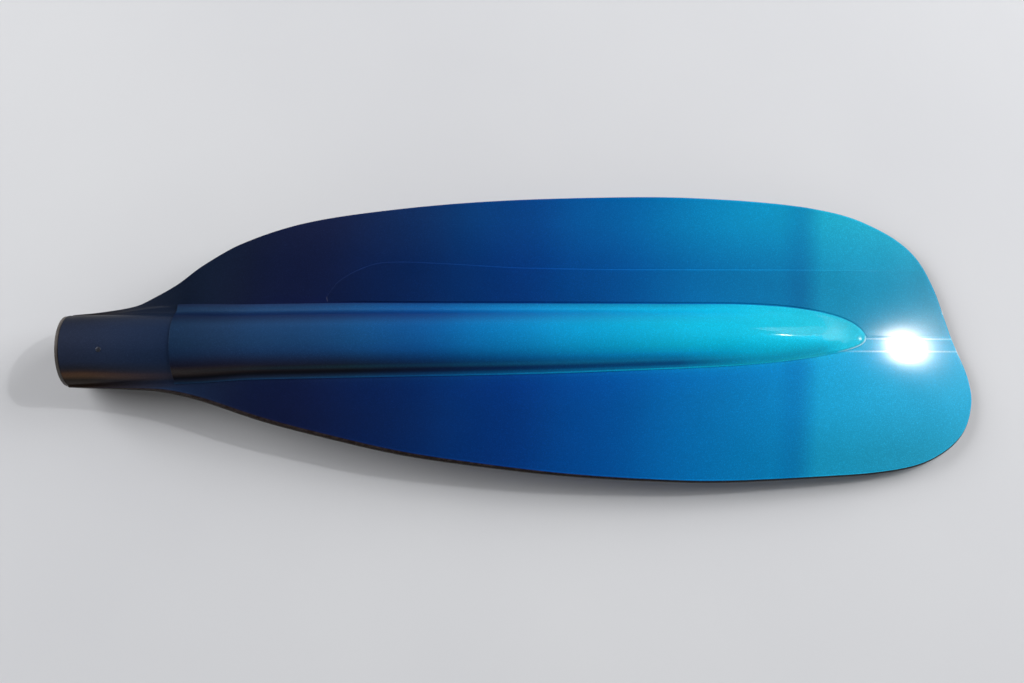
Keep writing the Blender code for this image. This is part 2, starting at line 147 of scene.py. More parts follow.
# Gloss coat, the lean of the bands of colour, and the paint along the blade: x in the frame's millimetres, and
# a colour in 0 to 255
COAT, NECK_COAT_SHARE, NOSE_COAT_SHARE = 0.3, 0.2, 0.12
TONE_LEAN = 0.12
# On the panels the dip by x 165 is a painted reflection, a soft dark band across the blade that leans with the
# rest
PANEL_STOPS = [
    (-265, (38, 45, 64)), (-200, (28, 43, 70)), (-160, (17, 27, 56)), (-105, (13, 29, 68)),
    (-45, (6, 45, 101)), (15, (3, 62, 130)), (75, (2, 92, 158)), (146, (5, 123, 177)), (165, (7, 119, 170)),
    (177, (21, 146, 186)), (264, (38, 155, 188)),
]
FACE_STOPS = [
    (-265, (40, 28, 22)), (-190, (30, 24, 26)), (-120, (16, 28, 60)), (-20, (4, 54, 118)),
    (74, (3, 100, 167)), (150, (12, 127, 180)), (182, (28, 152, 190)), (264, (46, 166, 198)),
]
SPINE_STOPS = [
    (-200, (26, 48, 76)), (-158, (29, 59, 96)), (-100, (24, 75, 126)), (-42, (13, 100, 166)),
    (16, (11, 144, 202)), (74, (12, 174, 216)), (132, (20, 189, 223)), (165, (37, 192, 219)),
    (205, (50, 188, 217)),
]

# Painted shade, highlight and reflection across the spine from its near foot to its far one: the place from 0
# to
# 1, and factors for red, green and blue
NECK_PAINTED_SHADING = [
    (0.0, 1.9, 1.2, 1.2), (0.03, 1.0, 0.72, 0.62), (0.055, 0.9, 0.42, 0.36), (0.08, 0.3, 0.17, 0.15),
    (0.11, 0.5, 0.11, 0.08), (0.14, 2.0, 0.5, 0.28), (0.175, 1.1, 0.32, 0.27), (0.3, 1.1, 0.78, 0.82),
    (0.42, 1.15, 1.0, 1.03), (0.66, 0.97, 1, 1), (0.75, 0.38, 0.5, 0.61), (0.82, 0.3, 0.37, 0.55),
    (0.9, 1.0, 1.04, 1.04), (1.0, 0.9, 0.6, 0.68),
]
MIDDLE_PAINTED_SHADING = [
    (0.0, 2.4, 2.0, 2.1), (0.03, 1.2, 0.6, 0.8), (0.055, 0.6, 0.48, 0.68), (0.08, 0.15, 0.3, 0.52),
    (0.11, 0.2, 0.28, 0.48), (0.14, 0.9, 0.5, 0.7), (0.175, 0.5, 0.58, 0.8), (0.24, 0.7, 0.84, 1.06),
    (0.4, 0.95, 1.05, 1.1), (0.65, 0.9, 0.95, 0.93), (0.75, 0.25, 0.8, 0.84), (0.83, 0.18, 0.78, 0.88),
    (0.9, 0.45, 0.84, 0.88), (1.0, 0.5, 0.52, 0.62),
]
NOSE_PAINTED_SHADING = [
    (0.0, 1.0, 1.1, 1.1), (0.03, 0.75, 0.95, 1.0), (0.08, 0.5, 0.97, 1.07), (0.2, 0.45, 1.12, 1.2),
    (0.35, 0.6, 1.1, 1.12), (0.48, 0.72, 1.0, 0.98), (0.7, 0.66, 0.92, 0.9), (0.9, 0.6, 0.93, 0.93),
    (1.0, 0.6, 0.93, 0.97),
]

# Painted highlight and shade across the panels, in spine half-widths from -PANEL_REACH to PANEL_REACH, and
# across the tip, in metres from -TIP_REACH to TIP_REACH, both as places from 0 to 1 with factors
PANEL_REACH, TIP_REACH = 4, 0.09
PANEL_PAINTED_LIGHT = [
    (0.25, 1.0, 1.0, 1.08), (0.33, 1.05, 1.1, 1.22), (0.36, 1.15, 1.3, 1.36), (0.37, 1.5, 1.65, 1.55),
    (0.63, 1.0, 0.95, 1.1), (0.66, 1, 0.98, 1.02), (0.78, 1.05, 1.02, 1.0), (0.93, 1.8, 1.45, 1.2),
]
TIP_PAINTED_LIGHT = [
    (0.1, 0.9, 0.97, 0.97), (0.25, 1.1, 1.15, 1.2), (0.42, 1.1, 1.18, 1.22), (0.52, 0.7, 0.9, 0.94),
    (0.66, 0.5, 0.84, 0.89), (0.82, 0.85, 1.0, 1.0), (0.95, 1.1, 1.12, 1.06),
]

# The neck across its round, from -NECK_REACH to NECK_REACH of the way to its foot, as places from 0 to 1: its
# painted shade, darker towards its far foot; a painted reflection of warm brown ground on its flanks; and that
# reflection's share on the near flank and on the far one
NECK_REACH = 1.1
NECK_PAINTED_SHADE = [(0.3, 1.05), (0.45, 1.05), (0.64, 0.95), (0.73, 0.78), (0.8, 0.55), (0.88, 0.42)]
NECK_PAINTED_REFLECTION = [
    (0.0, (44, 32, 26)), (0.09, (36, 27, 19)), (0.118, (84, 62, 44)), (0.145, (84, 60, 46)),
    (0.168, (56, 43, 38)), (0.2, (34, 33, 38)), (0.85, (34, 35, 42)), (0.95, (40, 38, 40)),
]
NEAR_REFLECTION_SHARE = [(0.0, 0.0), (0.03, 1.0), (0.15, 1.0), (0.2, 0.7), (0.27, 0.0)]
FAR_REFLECTION_SHARE = [(0.8, 0.0), (0.9, 0.8), (0.97, 1.0), (1.0, 0.0)]

# Where a layer of paint comes or goes, each between two x of the frame in metres: the coat on the neck and on
# the nose, and layers of painted shade, reflection and highlight
NECK_COAT_END = (-0.2, -0.14)
NECK_SHADE_END, NEAR_REFLECTION_END, FAR_REFLECTION_END = (-0.195, -0.14), (-0.25, -0.185), (-0.25, -0.222)
WARM_REFLECTION_END = (-0.205, -0.14)
PANEL_LIGHT_START, PANEL_LIGHT_WEAKENING, WEAK_PANEL_LIGHT = (-0.19, -0.12), (0.1, 0.19), 0.35
TIP_LIGHT_START = (0.1, 0.17)
MIDDLE_SHADING_START, NOSE_SHADING_START = (-0.1, 0.085), (0.09, 0.135)
NOSE_DULLING, NOSE_HIGHLIGHT_START = (0.185, 0.196), (0.185, 0.195)
HIGHLIGHT_LINES_START, HIGHLIGHT_LINES_END = (0.185, 0.21), (0.25, 0.27)

# Fine painted highlight lines from the nose to the tip, and the side of the nose's painted highlight, each
# between two y of the frame in metres
NEAR_HIGHLIGHT_LINE, MIDDLE_HIGHLIGHT_LINE, PLY_HIGHLIGHT_LINE = (-0.0127, -0.0103), (-0.0047, -0.0029), (-0.0042, -0.0016)
NOSE_HIGHLIGHT_SIDE = (-0.0045, -0.0015)

# Painted shade and highlights by the edges, and the coat's wear, each between two distances in millimetres from
# the painted shade band, the ply's edge or the foot
SHADE_BAND_REACH, BAND_RUBBING = (-1, 1.4), (-0.5, 1.5)
PLY_HIGHLIGHT_REACH, PLY_RUBBING = (0, 2), (0.6, 1.6)
NOSE_HIGHLIGHT_REACH, NOSE_HIGHLIGHT_SHARE = (0.5, 1.5), 0.8

# Colours of the painted highlight lines, the painted warm reflection and the nose's painted highlight, in 0 to
# 255
HIGHLIGHT_LINE_COLOUR, WARM_REFLECTION, NOSE_HIGHLIGHT = (190, 228, 240), (64, 57, 55), (205, 240, 248)

# Floor and haze in metres; the sky's grey by the height of a direction; lamps by direction, distance and size
# in metres, and power in watts; and the camera, in metres but for its target in blade coordinates
FLOOR_REACH, FLOOR_DROP = 30.0, 0.0002
HAZE_START, HAZE_END = 0.5, 1.5
FAR_PALE = 0.68
SKY = [(0.0, FAR_PALE), (0.25, 0.6), (0.6, 0.12), (0.8, 0.04)]
LAMPS = {
    "tip_side_lamp": ((0.80, 0.36, 0.48), 2.2, (1.5, 1.5), 36),
    "neck_side_lamp": ((-0.80, 0.33, 0.50), 2.2, (1.5, 1.5), 36),
    "keen_lamp": ((0.6098, 0.2387, 0.7558), 1.764, (0.05, 0.04), 5),
}
CAMERA_AZIMUTH, CAMERA_ELEVATION, CAMERA_DISTANCE = math.radians(-1.3), math.radians(76), 0.68
CAMERA_TARGET = (259.0, 0.0, NECK_RADIUS)
LENS, SENSOR_WIDTH = 40.96, 36
CLIP_START, CLIP_END = 0.01, 200

SOCKET_LOW, SOCKET_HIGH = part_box("socket_sleeve")
MOUTH_X = SOCKET_LOW.x
AXIS_Y = (SOCKET_LOW.y + SOCKET_HIGH.y) / 2
MM = 0.001


def in_frame(s, t, z):
    """Blade coordinates in millimetres as points of the frame in metres."""
    s, t, z = np.broadcast_arrays(s, t, z)
    return np.stack([s * MM + MOUTH_X, t * MM + AXIS_Y, z * MM], axis=-1)


def smooth_step(x):
    """3x^2 - 2x^3, held at 0 below 0 and at 1 above 1."""
    x = np.clip(x, 0, 1)
    return x * x * (3 - 2 * x)


def curve(points, x):
    """A cubic between each two given points; the slope at a point is the rise over its two neighbours."""
    across, height = np.array(points, float).T
    slope = np.gradient(height, across, edge_order=1)
    slope[1:-1] = (height[2:] - height[:-2]) / (across[2:] - across[:-2])
    k = np.clip(np.searchsorted(across, x) - 1, 0, len(across) - 2)
    width = across[k + 1] - across[k]
    u = (x - across[k]) / width
    rise = height[k] + (height[k + 1] - height[k]) * u * u * (3 - 2 * u)
    return rise + width * u * (1 - u) * ((1 - u) * slope[k] - u * slope[k + 1])


def tip_curve(angle):
    """The tip's rim as a distance from the fan's centre, read at the angle about it."""
    polar = sorted((math.atan2(t, s - FAN_CENTRE), math.hypot(s - FAN_CENTRE, t)) for s, t in TIP_RIM)
    return curve(polar, angle)


def rim_distance(s, t):
    """Across the blade beside the spine, and from the fan's centre round the tip."""
    sides = np.where(t >= 0, curve(FAR_RIM, s), curve(NEAR_RIM, s))
    return np.where(s > FAN_CENTRE, tip_curve(np.arctan2(t, s - FAN_CENTRE)), sides)


def rim_share(s, t):
    """0 on the centre line, 1 on the rim."""
    return np.where(s > FAN_CENTRE, np.hypot(s - FAN_CENTRE, t), np.abs(t)) / rim_distance(s, t)


def wing_growth(s):
    """0 on the plain neck, rising smoothly to 1 where the wings have their full thickness."""
    return smooth_step((s - WING_START) / (WING_END - WING_START))


def rim_half_thickness(s):
    """Half the rim's thickness, which grows with the wings from the neck's seam."""
    seam = SKIN + GAP / 2
    return seam + (RIM_THICKNESS / 2 - seam) * wing_growth(s)


def camber_share(s, t):
    """0 up to the blade's root, 1 along the slanted tip."""
    return np.clip((s + TIP_SLANT * t - CAMBER_START) / (TIP_STATION - CAMBER_START), 0, 1)


def mid_height(s, t):
    """The root's height, less a fall with the camber's share squared and a droop with t squared.

    The droop fades out towards the tip with the cube of the share.
    """
    share = camber_share(s, t)
    fall = NECK_RADIUS + ROOT_RISE - RIM_THICKNESS / 2
    droop = EDGE_DROOP * wing_growth(s) * (1 - share ** 3) * (t / DROOP_WIDTH) ** 2
    return NECK_RADIUS + ROOT_RISE * wing_growth(s) - fall * share ** 2 - droop


def half_thickness(s, t):
    """Half the rim's thickness and a belly, which falls with the squared ways to the rim and to the tip."""
    belly = BELLY_THICKNESS / 2 * smooth_step((s - WING_END) / (CAMBER_START - WING_END))
    return rim_half_thickness(s) + belly * (1 - camber_share(s, t) ** 2) * (1 - rim_share(s, t) ** 2)


def arch(x, width, height, fillet):
    """Height at x from the middle: a round crown whose flank meets level ground in a fillet."""
    reach = (width ** 2 + height ** 2) / (2 * height)
    crown = reach - fillet
    x = np.minimum(np.abs(x), width)
    top = np.sqrt(np.maximum(crown ** 2 - x ** 2, 0)) - crown + height
    hollow = fillet - np.sqrt(np.maximum(fillet ** 2 - (width - x) ** 2, 0))
    return np.where(x < width * crown / reach, top, hollow)


def neck_arch(s, height, full_fillet):
    """Width, height and fillet of the neck's own round, standing that high over its growing wings."""
    fillet = GAP + (full_fillet - GAP) * wing_growth(s)
    return np.sqrt(2 * height * (NECK_RADIUS + fillet) - height ** 2), height, fillet


def between_sides(near, far, t):
    """A value of the spine's near side or of its far side, blended smoothly over the crown."""
    return near + (far - near) * smooth_step((t / SIDE_BLEND + 1) / 2)


def spine_arch(s, t):
    """The neck's round, which keeps a share of its width and is lowered in line with the way along the blade.

    The fillet and the shares differ between the two sides.
    """
    root, blade = np.minimum(s, CAMBER_START), np.maximum(s, CAMBER_START)
    level = np.zeros_like(root)
    wing_top = mid_height(root, level) + half_thickness(root, level)
    full_fillet = between_sides(SPINE_NEAR_FILLET, SPINE_FAR_FILLET, t)
    width, height, fillet = neck_arch(root, 2 * NECK_RADIUS - wing_top, full_fillet)
    share = between_sides(curve(SPINE_NEAR_SHARE, blade), curve(SPINE_FAR_SHARE, blade), t)
    lowered = 1 - SPINE_LOWERING * (blade - CAMBER_START) / SPINE_TAPER_LENGTH
    return width * share, height * lowered, fillet * share


def fairing_arch(s):
    """The neck's round under the power face."""
    root = np.minimum(s, CAMBER_START)
    level = np.zeros_like(root)
    return neck_arch(root, mid_height(root, level) - half_thickness(root, level), FAIRING_FILLET)


def spine_share(s, t):
    """0 along the spine's middle, 1 round its foot and its nose."""
    return np.hypot(t / spine_arch(s, t)[0], np.maximum(s - NOSE_START, 0) / NOSE_LENGTH)


def top_height(s, t):
    """The back: the panel's upper side and the spine's arch over it."""
    width, height, fillet = spine_arch(s, t)
    return mid_height(s, t) + half_thickness(s, t) + arch(spine_share(s, t) * width, width, height, fillet)


def low_height(s, t):
    """The power face: the panel's lower side and the fairing's arch under it."""
    width, depth, fillet = fairing_arch(s)
    share = np.hypot(t / width, np.maximum(s - CAMBER_START, 0) / FAIRING_LENGTH)
    return mid_height(s, t) - half_thickness(s, t) - arch(share * width, width, depth, fillet)


def raised(height, s, t, distance):
    """The surface moved along its own normal, whose slopes are differences over a small step."""
    along = (height(s + SLOPE_STEP, t) - height(s - SLOPE_STEP, t)) / (2 * SLOPE_STEP)
    across = (height(s, t + SLOPE_STEP) - height(s, t - SLOPE_STEP)) / (2 * SLOPE_STEP)
    scale = distance / np.sqrt(along ** 2 + across ** 2 + 1)
    return in_frame(s - along * scale, t - across * scale, height(s, t) + scale)


def rays_round(start):
    """Station and angle of each ray: down the far side from the start, round the tip, up the near side."""
    arm = start + (FAN_CENTRE - start) * np.linspace(0, 1, ARM_STEPS, endpoint=False) ** CROWDING
    fan = np.linspace(math.pi / 2, -math.pi / 2, TIP_STEPS + 1)
    station = np.concatenate([arm, np.full(TIP_STEPS + 1, float(FAN_CENTRE)), arm[::-1]])
    angle = np.concatenate([np.full(ARM_STEPS, math.pi / 2), fan, np.full(ARM_STEPS, -math.pi / 2)])
    return station, angle


def ray_rim(station, angle):
    """How far each ray runs to the rim."""
    sides = np.where(angle > 0, curve(FAR_RIM, station), curve(NEAR_RIM, station))
    return np.where(station < FAN_CENTRE, sides, tip_curve(angle))


def ray_foot(station, angle, widening=1.0):
    """How far each ray runs to the foot of a spine that many times as wide, found by halving."""
    inside, outside = np.zeros_like(station), ray_rim(station, angle)
    for _ in range(HALVINGS):
        middle = (inside + outside) / 2
        s, t = plan_of(station, angle, middle)
        within = spine_share(s, t / widening) < 1
        inside, outside = np.where(within, middle, inside), np.where(within, outside, middle)
    return inside


def ray_arch(station, angle):
    """The spine's width, height and fillet on the ray's own side, clear of the blending over the crown."""
    return spine_arch(station, SIDE_BLEND * np.sin(angle))


def arch_crossings(foot, width, height, fillet):
    """Distances from the centre line to the foot, at even turns of the crown and then of its fillet."""
    reach = (width ** 2 + height ** 2) / (2 * height)
    steepest = np.arcsin(np.minimum(width / reach, 1))
    crown = (reach - fillet) * np.sin(steepest * np.linspace(0, 1, CROWN_STEPS + 1)[:, None])
    hollow = width - fillet * np.sin(steepest * np.linspace(1, 0, FILLET_STEPS + 1)[1:, None])
    return np.concatenate([crown, hollow]) * foot / width


def panel_crossings(foot, rim):
    """Even distances from the foot to a narrow strip by the rim, and closer ones over the strip."""
    strip = rim - np.minimum(EDGE_STRIP, (rim - foot) / 2)
    inner = foot + (strip - foot) * np.linspace(0, 1, PANEL_STEPS + 1)[1:, None]
    return np.concatenate([inner, strip + (rim - strip) * np.linspace(0, 1, EDGE_STEPS + 1)[1:, None]])


def plan_of(station, angle, distance):
    """The point at a distance along each ray, in plan."""
    return station + distance * np.cos(angle), distance * np.sin(angle)


def new_piece(name, points, materials, node, closed_rows=False, closed_columns=False, marks=None):
    """A welded grid of quads through an array of points, rows by columns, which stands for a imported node."""
    rows, columns = points.shape[:2]
    index = np.arange(rows * columns).reshape(rows, columns)
    if closed_rows:
        index = np.concatenate([index, index[:1]], axis=0)
    if closed_columns:
        index = np.concatenate([index, index[:, :1]], axis=1)
    quads = np.stack([index[:-1, :-1], index[1:, :-1], index[1:, 1:], index[:-1, 1:]], axis=-1).reshape(-1, 4)
    data = bpy.data.meshes.new(name)
    data.from_pydata(points.reshape(-1, 3), [], quads.tolist())
    for mark, values in (marks or {}).items():
        attribute = data.attributes.new(mark, "FLOAT", "POINT")
        attribute.data.foreach_set("value", values.astype(np.float32).ravel())
    mesh = bmesh.new()
    mesh.from_mesh(data)
    bmesh.ops.remove_doubles(mesh, verts=mesh.verts, dist=WELD)
    bmesh.ops.recalc_face_normals(mesh, faces=mesh.faces)
    mesh.to_mesh(data)
    mesh.free()
    data.shade_smooth()
    for material in materials:
        data.materials.append(material)
    piece = bpy.data.objects.new(name, data)
    bpy.context.scene.collection.objects.link(piece)
    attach(piece, "root")
    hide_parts(node)
    return piece


def face_upwards(piece, upwards=True):
    """Turns an open sheet so that its outer side looks up, or down."""
    mesh = bmesh.new()
    mesh.from_mesh(piece.data)
    total = sum(face.normal.z * face.calc_area() for face in mesh.faces)
    if (total > 0) != upwards:
        bmesh.ops.reverse_faces(mesh, faces=mesh.faces)
    mesh.to_mesh(piece.data)
    mesh.free()


def thicken(piece, thickness, rim_material=0):
    """A wall inwards from an open sheet, with its cut edges a little rounded."""
    wall = piece.modifiers.new("wall", "SOLIDIFY")
    wall.thickness = thickness * MM
    wall.offset = -1
    wall.use_even_offset = True
    wall.material_offset_rim = rim_material
    edge = piece.modifiers.new("edge", "BEVEL")
    edge.width = EDGE_ROUNDING * MM
    edge.segments = BEVEL_STEPS
    edge.limit_method = "ANGLE"
    edge.angle_limit = BEVEL_ANGLE
    edge.harden_normals = True


def make_back_skin(materials):
    """The back's surface over rays from the centre line to the rim.

    The mark `across` is the signed way to the spine's foot. The mark `from_band` is the distance in millimetres
    from the painted shade band, which follows the near edge and thins out towards the tip.
    """
    station, angle = rays_round(LIP_LENGTH + GAP)
    foot, rim = ray_foot(station, angle), ray_rim(station, angle)
    crown = arch_crossings(foot, *ray_arch(station, angle))
    distance = np.concatenate([crown, panel_crossings(foot, rim)])
    s, t = plan_of(station, angle, distance)
    from_band = rim - distance - np.where(t < 0, curve(NEAR_SHADE_BAND, s), FAR_SHADE_BAND)
    marks = {"across": spine_share(s, t) * np.sign(t), "from_band": np.minimum(from_band, EDGE_STRIP)}
    points = in_frame(s, t, top_height(s, t))
    skin = new_piece("painted_back", points, materials, "back_skin", marks=marks)
    face_upwards(skin)
    thicken(skin, SKIN, rim_material=1)


def make_face_skin(materials):
    """The power face's surface over the same rays, with its own foot where the fairing ends."""
    station, angle = rays_round(LIP_LENGTH + GAP)
    root_width = ray_arch(np.minimum(station, CAMBER_START), angle)[0]
    foot = ray_foot(station, angle, fairing_arch(station)[0] / root_width)
    fairing = arch_crossings(foot, *fairing_arch(station))
    distance = np.concatenate([fairing, panel_crossings(foot, ray_rim(station, angle))])
    s, t = plan_of(station, angle, distance)
    points = in_frame(s, t, low_height(s, t))
    skin = new_piece("painted_face", points, materials, "face_skin")
    face_upwards(skin, upwards=False)
    thicken(skin, SKIN, rim_material=1)


def make_spine_cap(materials):
    """The spine's arch, raised off the back by the cap's thickness and gap, which thin out at its foot.

    The mark `across` is the signed way to the foot of each side, and `from_foot` the distance from the foot in
    millimetres.
    """
    station, angle = rays_round(CAP_START)
    foot = ray_foot(station, angle)
    distance = arch_crossings(foot, *ray_arch(station, angle))
    s, t = plan_of(station, angle, distance)
    from_foot = foot - distance
    thinning = CAP_THINNING * smooth_step(1 - from_foot / THINNING_WIDTH)
    points = raised(top_height, s, t, GAP + CAP_THICKNESS - thinning)
    marks = {"across": spine_share(s, t) * np.sin(angle), "from_foot": from_foot}
    cap = new_piece("painted_spine", points, materials, "spine_cap", marks=marks)
    face_upwards(cap)
    thicken(cap, CAP_THICKNESS + CAP_BEDDING)


def ply_inner_edge(station):
    """Across to the spine's foot and its clearance, by repeated halving towards it, and 0 past the nose."""
    inner = np.zeros_like(station)
    for _ in range(HALVINGS):
        s = station - TIP_SLANT * inner
        nose = np.clip(np.maximum(s - NOSE_START, 0) / (NOSE_LENGTH + PLY_CLEARANCE), 0, 1)
        inner = (inner + (spine_arch(s, inner)[0] + PLY_CLEARANCE) * np.sqrt(1 - nose ** 2)) / 2
    return inner


def make_reinforcing_ply(materials):
    """A thin sheet between the spine's foot and a curved far edge, lying on the back.

    Its upper side stands off the back by the ply's height, eased to nothing over a bevel by all four edges and
    feathered out towards both ends, and its lower side lies a little under the back's surface. The mark
    `from_edge` is the distance in millimetres from the edge that shows.
    """
    station = PLY_START + (PLY_END - PLY_START) * (1 - (1 - np.linspace(0, 1, PLY_COLUMNS + 1)) ** PLY_CROWDING)
    inner, outer = ply_inner_edge(station), curve(PLY_EDGE, station)
    edge_rows = np.linspace(0, PLY_EDGE_SHARE, PLY_EDGE_ROWS, endpoint=False)
    middle_rows = np.linspace(PLY_EDGE_SHARE, 1 - PLY_EDGE_SHARE, PLY_MIDDLE_ROWS)
    share = np.concatenate([edge_rows, middle_rows, 1 - edge_rows[::-1]])[:, None]
    t = inner + (outer - inner) * share
    s = station - TIP_SLANT * t
    inwards = np.minimum(np.minimum(t - inner, outer - t), np.minimum(station - PLY_START, PLY_END - station))
    at_start = smooth_step((station - PLY_START) / PLY_START_FEATHERING)
    at_end = smooth_step((PLY_END - station) / PLY_FEATHERING)
    feathering = at_end * (PLY_START_SHARE + (1 - PLY_START_SHARE) * at_start)
    stand = (PLY_HEIGHT * feathering + PLY_BEDDING) * smooth_step(inwards / PLY_BEVEL) - PLY_BEDDING
    upper = raised(top_height, s, t, stand)
    lower = raised(top_height, s, t, np.full_like(stand, -PLY_BEDDING))
    points = np.concatenate([upper, lower[::-1]])
    far_or_start = np.minimum(outer - t, station - PLY_START + 1) + (1 - feathering) * PLY_BEVEL / 2
    past_nose = np.where(s > NOSE_START + NOSE_LENGTH, t - inner, EDGE_STRIP)
    line = np.minimum(far_or_start, past_nose)
    marks = {"from_edge": np.minimum(np.concatenate([line, line[::-1]]), EDGE_STRIP)}
    new_piece(
        "painted_ply", points, materials, "reinforcing_ply", closed_rows=True, marks=marks,
    )


def make_edge_rope(materials):
    """A round tube along the rim, its radius held inside the room between the skins, with closed ends."""
    station, angle = rays_round(ROPE_START)
    rim = ray_rim(station, angle)
    s, t = plan_of(station, angle, rim + ROPE_OFFSET)
    z = mid_height(*plan_of(station, angle, rim))
    radius = np.minimum(ROPE_RADIUS, rim_half_thickness(station) - SKIN - GAP)
    path = np.stack([s, t, z], axis=-1)
    ahead = np.gradient(path, axis=0)
    ahead /= np.linalg.norm(ahead, axis=1, keepdims=True)
    side = np.cross(ahead, (0, 0, 1))
    side /= np.linalg.norm(side, axis=1, keepdims=True)
    upright = np.cross(side, ahead)
    turn = np.linspace(0, 2 * math.pi, ROPE_SIDES, endpoint=False)[:, None, None]
    radius = np.concatenate([[0], radius, [0]])[:, None]
    path, side, upright = (np.concatenate([row[:1], row, row[-1:]]) for row in (path, side, upright))
    ring = path + radius * (np.cos(turn) * side + np.sin(turn) * upright)
    points = in_frame(ring[..., 0], ring[..., 1], ring[..., 2])
    new_piece("edge_rope", points, materials, "edge_bead", closed_rows=True)


def rounded(corners, radius, steps=5):
    """A profile whose inner corners become curves between the points that far from the corner."""
    corners = np.array(corners, float)
    rounded_points = [corners[:1]]
    for before, corner, after in zip(corners, corners[1:], corners[2:]):
        start = corner + (before - corner) / np.linalg.norm(before - corner) * radius
        end = corner + (after - corner) / np.linalg.norm(after - corner) * radius
        u = np.linspace(0, 1, steps)[:, None]
        rounded_points.append(start * (1 - u) ** 2 + 2 * corner * u * (1 - u) + end * u ** 2)
    rounded_points.append(corners[-1:])
    return np.concatenate(rounded_points)


def turned(name, profile, materials, node, closed=False, place=None):
    """A profile of radius and depth turned about the neck's axis, or about another line that place gives."""
    radius, depth = profile.T[:, :, None]
    turn = np.linspace(0, 2 * math.pi, ROUND_STEPS, endpoint=False)
    if place is None:
        points = in_frame(depth, radius * np.cos(turn), NECK_RADIUS + radius * np.sin(turn))
    else:
        points = place(radius * np.cos(turn), radius * np.sin(turn), np.broadcast_to(depth, radius.shape))
    return new_piece(name, points, materials, node, closed_rows=closed, closed_columns=True)


def make_liner(materials):
    """The liner's turned wall with its softened lip, and the plug that closes it."""
    wall = rounded([
        (LINER_RADIUS, LINER_LENGTH / 2), (LINER_RADIUS, LIP_LENGTH), (LIP_RADIUS, LIP_LENGTH),
        (LIP_RADIUS, 0), (BORE_RADIUS, 0), (BORE_RADIUS, LINER_LENGTH), (LINER_RADIUS, LINER_LENGTH),
        (LINER_RADIUS, LINER_LENGTH / 2),
    ], ROUNDING)
    turned("neck_liner", wall, materials, "socket_sleeve", closed=True)
    start = LINER_LENGTH + GAP
    plug = rounded([
        (0, start - SPIGOT_LENGTH), (SPIGOT_RADIUS, start - SPIGOT_LENGTH), (SPIGOT_RADIUS, start),
        (PLUG_RADIUS, start), (PLUG_RADIUS, start + PLUG_LENGTH), (0, start + PLUG_LENGTH),
    ], ROUNDING)
    turned("liner_plug", plug, materials, "sleeve_plug")


def make_pin(materials):
    """The pin's bar with its softened head, turned about a line that leans to the near side of the neck."""
    def place(x, y, depth):
        z = depth * math.cos(PIN_TILT) + y * math.sin(PIN_TILT)
        return in_frame(PIN_STATION + x, y * math.cos(PIN_TILT) - depth * math.sin(PIN_TILT), NECK_RADIUS + z)

    bar = rounded([(0, PIN_HEAD), (PIN_RADIUS, PIN_HEAD), (PIN_RADIUS, PIN_FOOT), (0, PIN_FOOT)], ROUNDING)
    turned("neck_pin", bar, materials, "sleeve_pin", place=place)


def linear(red, green, blue):
    """A colour given in 0 to 255 as the shader's linear colour."""
    value = np.array([red, green, blue]) / 255
    light = np.where(value <= 0.04045, value / 12.92, ((value + 0.055) / 1.055) ** 2.4)
    return (*light, 1.0)


def colour_stops(stops, low=0, high=1):
    """Stops of value and colour in 0 to 255, as places between the ramp's two ends and linear colours."""
    return [((value - low) / (high - low), linear(*colour)) for value, colour in stops]


def factor_stops(stops):
    """Stops of place and three factors, as places and colours."""
    return [(place, (*factors, 1)) for place, *factors in stops]


def grey_stops(stops):
    """Stops of place and one factor, as places and colours."""
    return [(place, (factor, factor, factor, 1)) for place, factor in stops]


def fill_ramp(node, stops):
    """Gives a colour ramp its stops."""
    elements = node.color_ramp.elements
    while len(elements) < len(stops):
        elements.new(0.5)
    for element, (position, colour) in zip(elements, stops):
        element.position = position
        element.color = colour


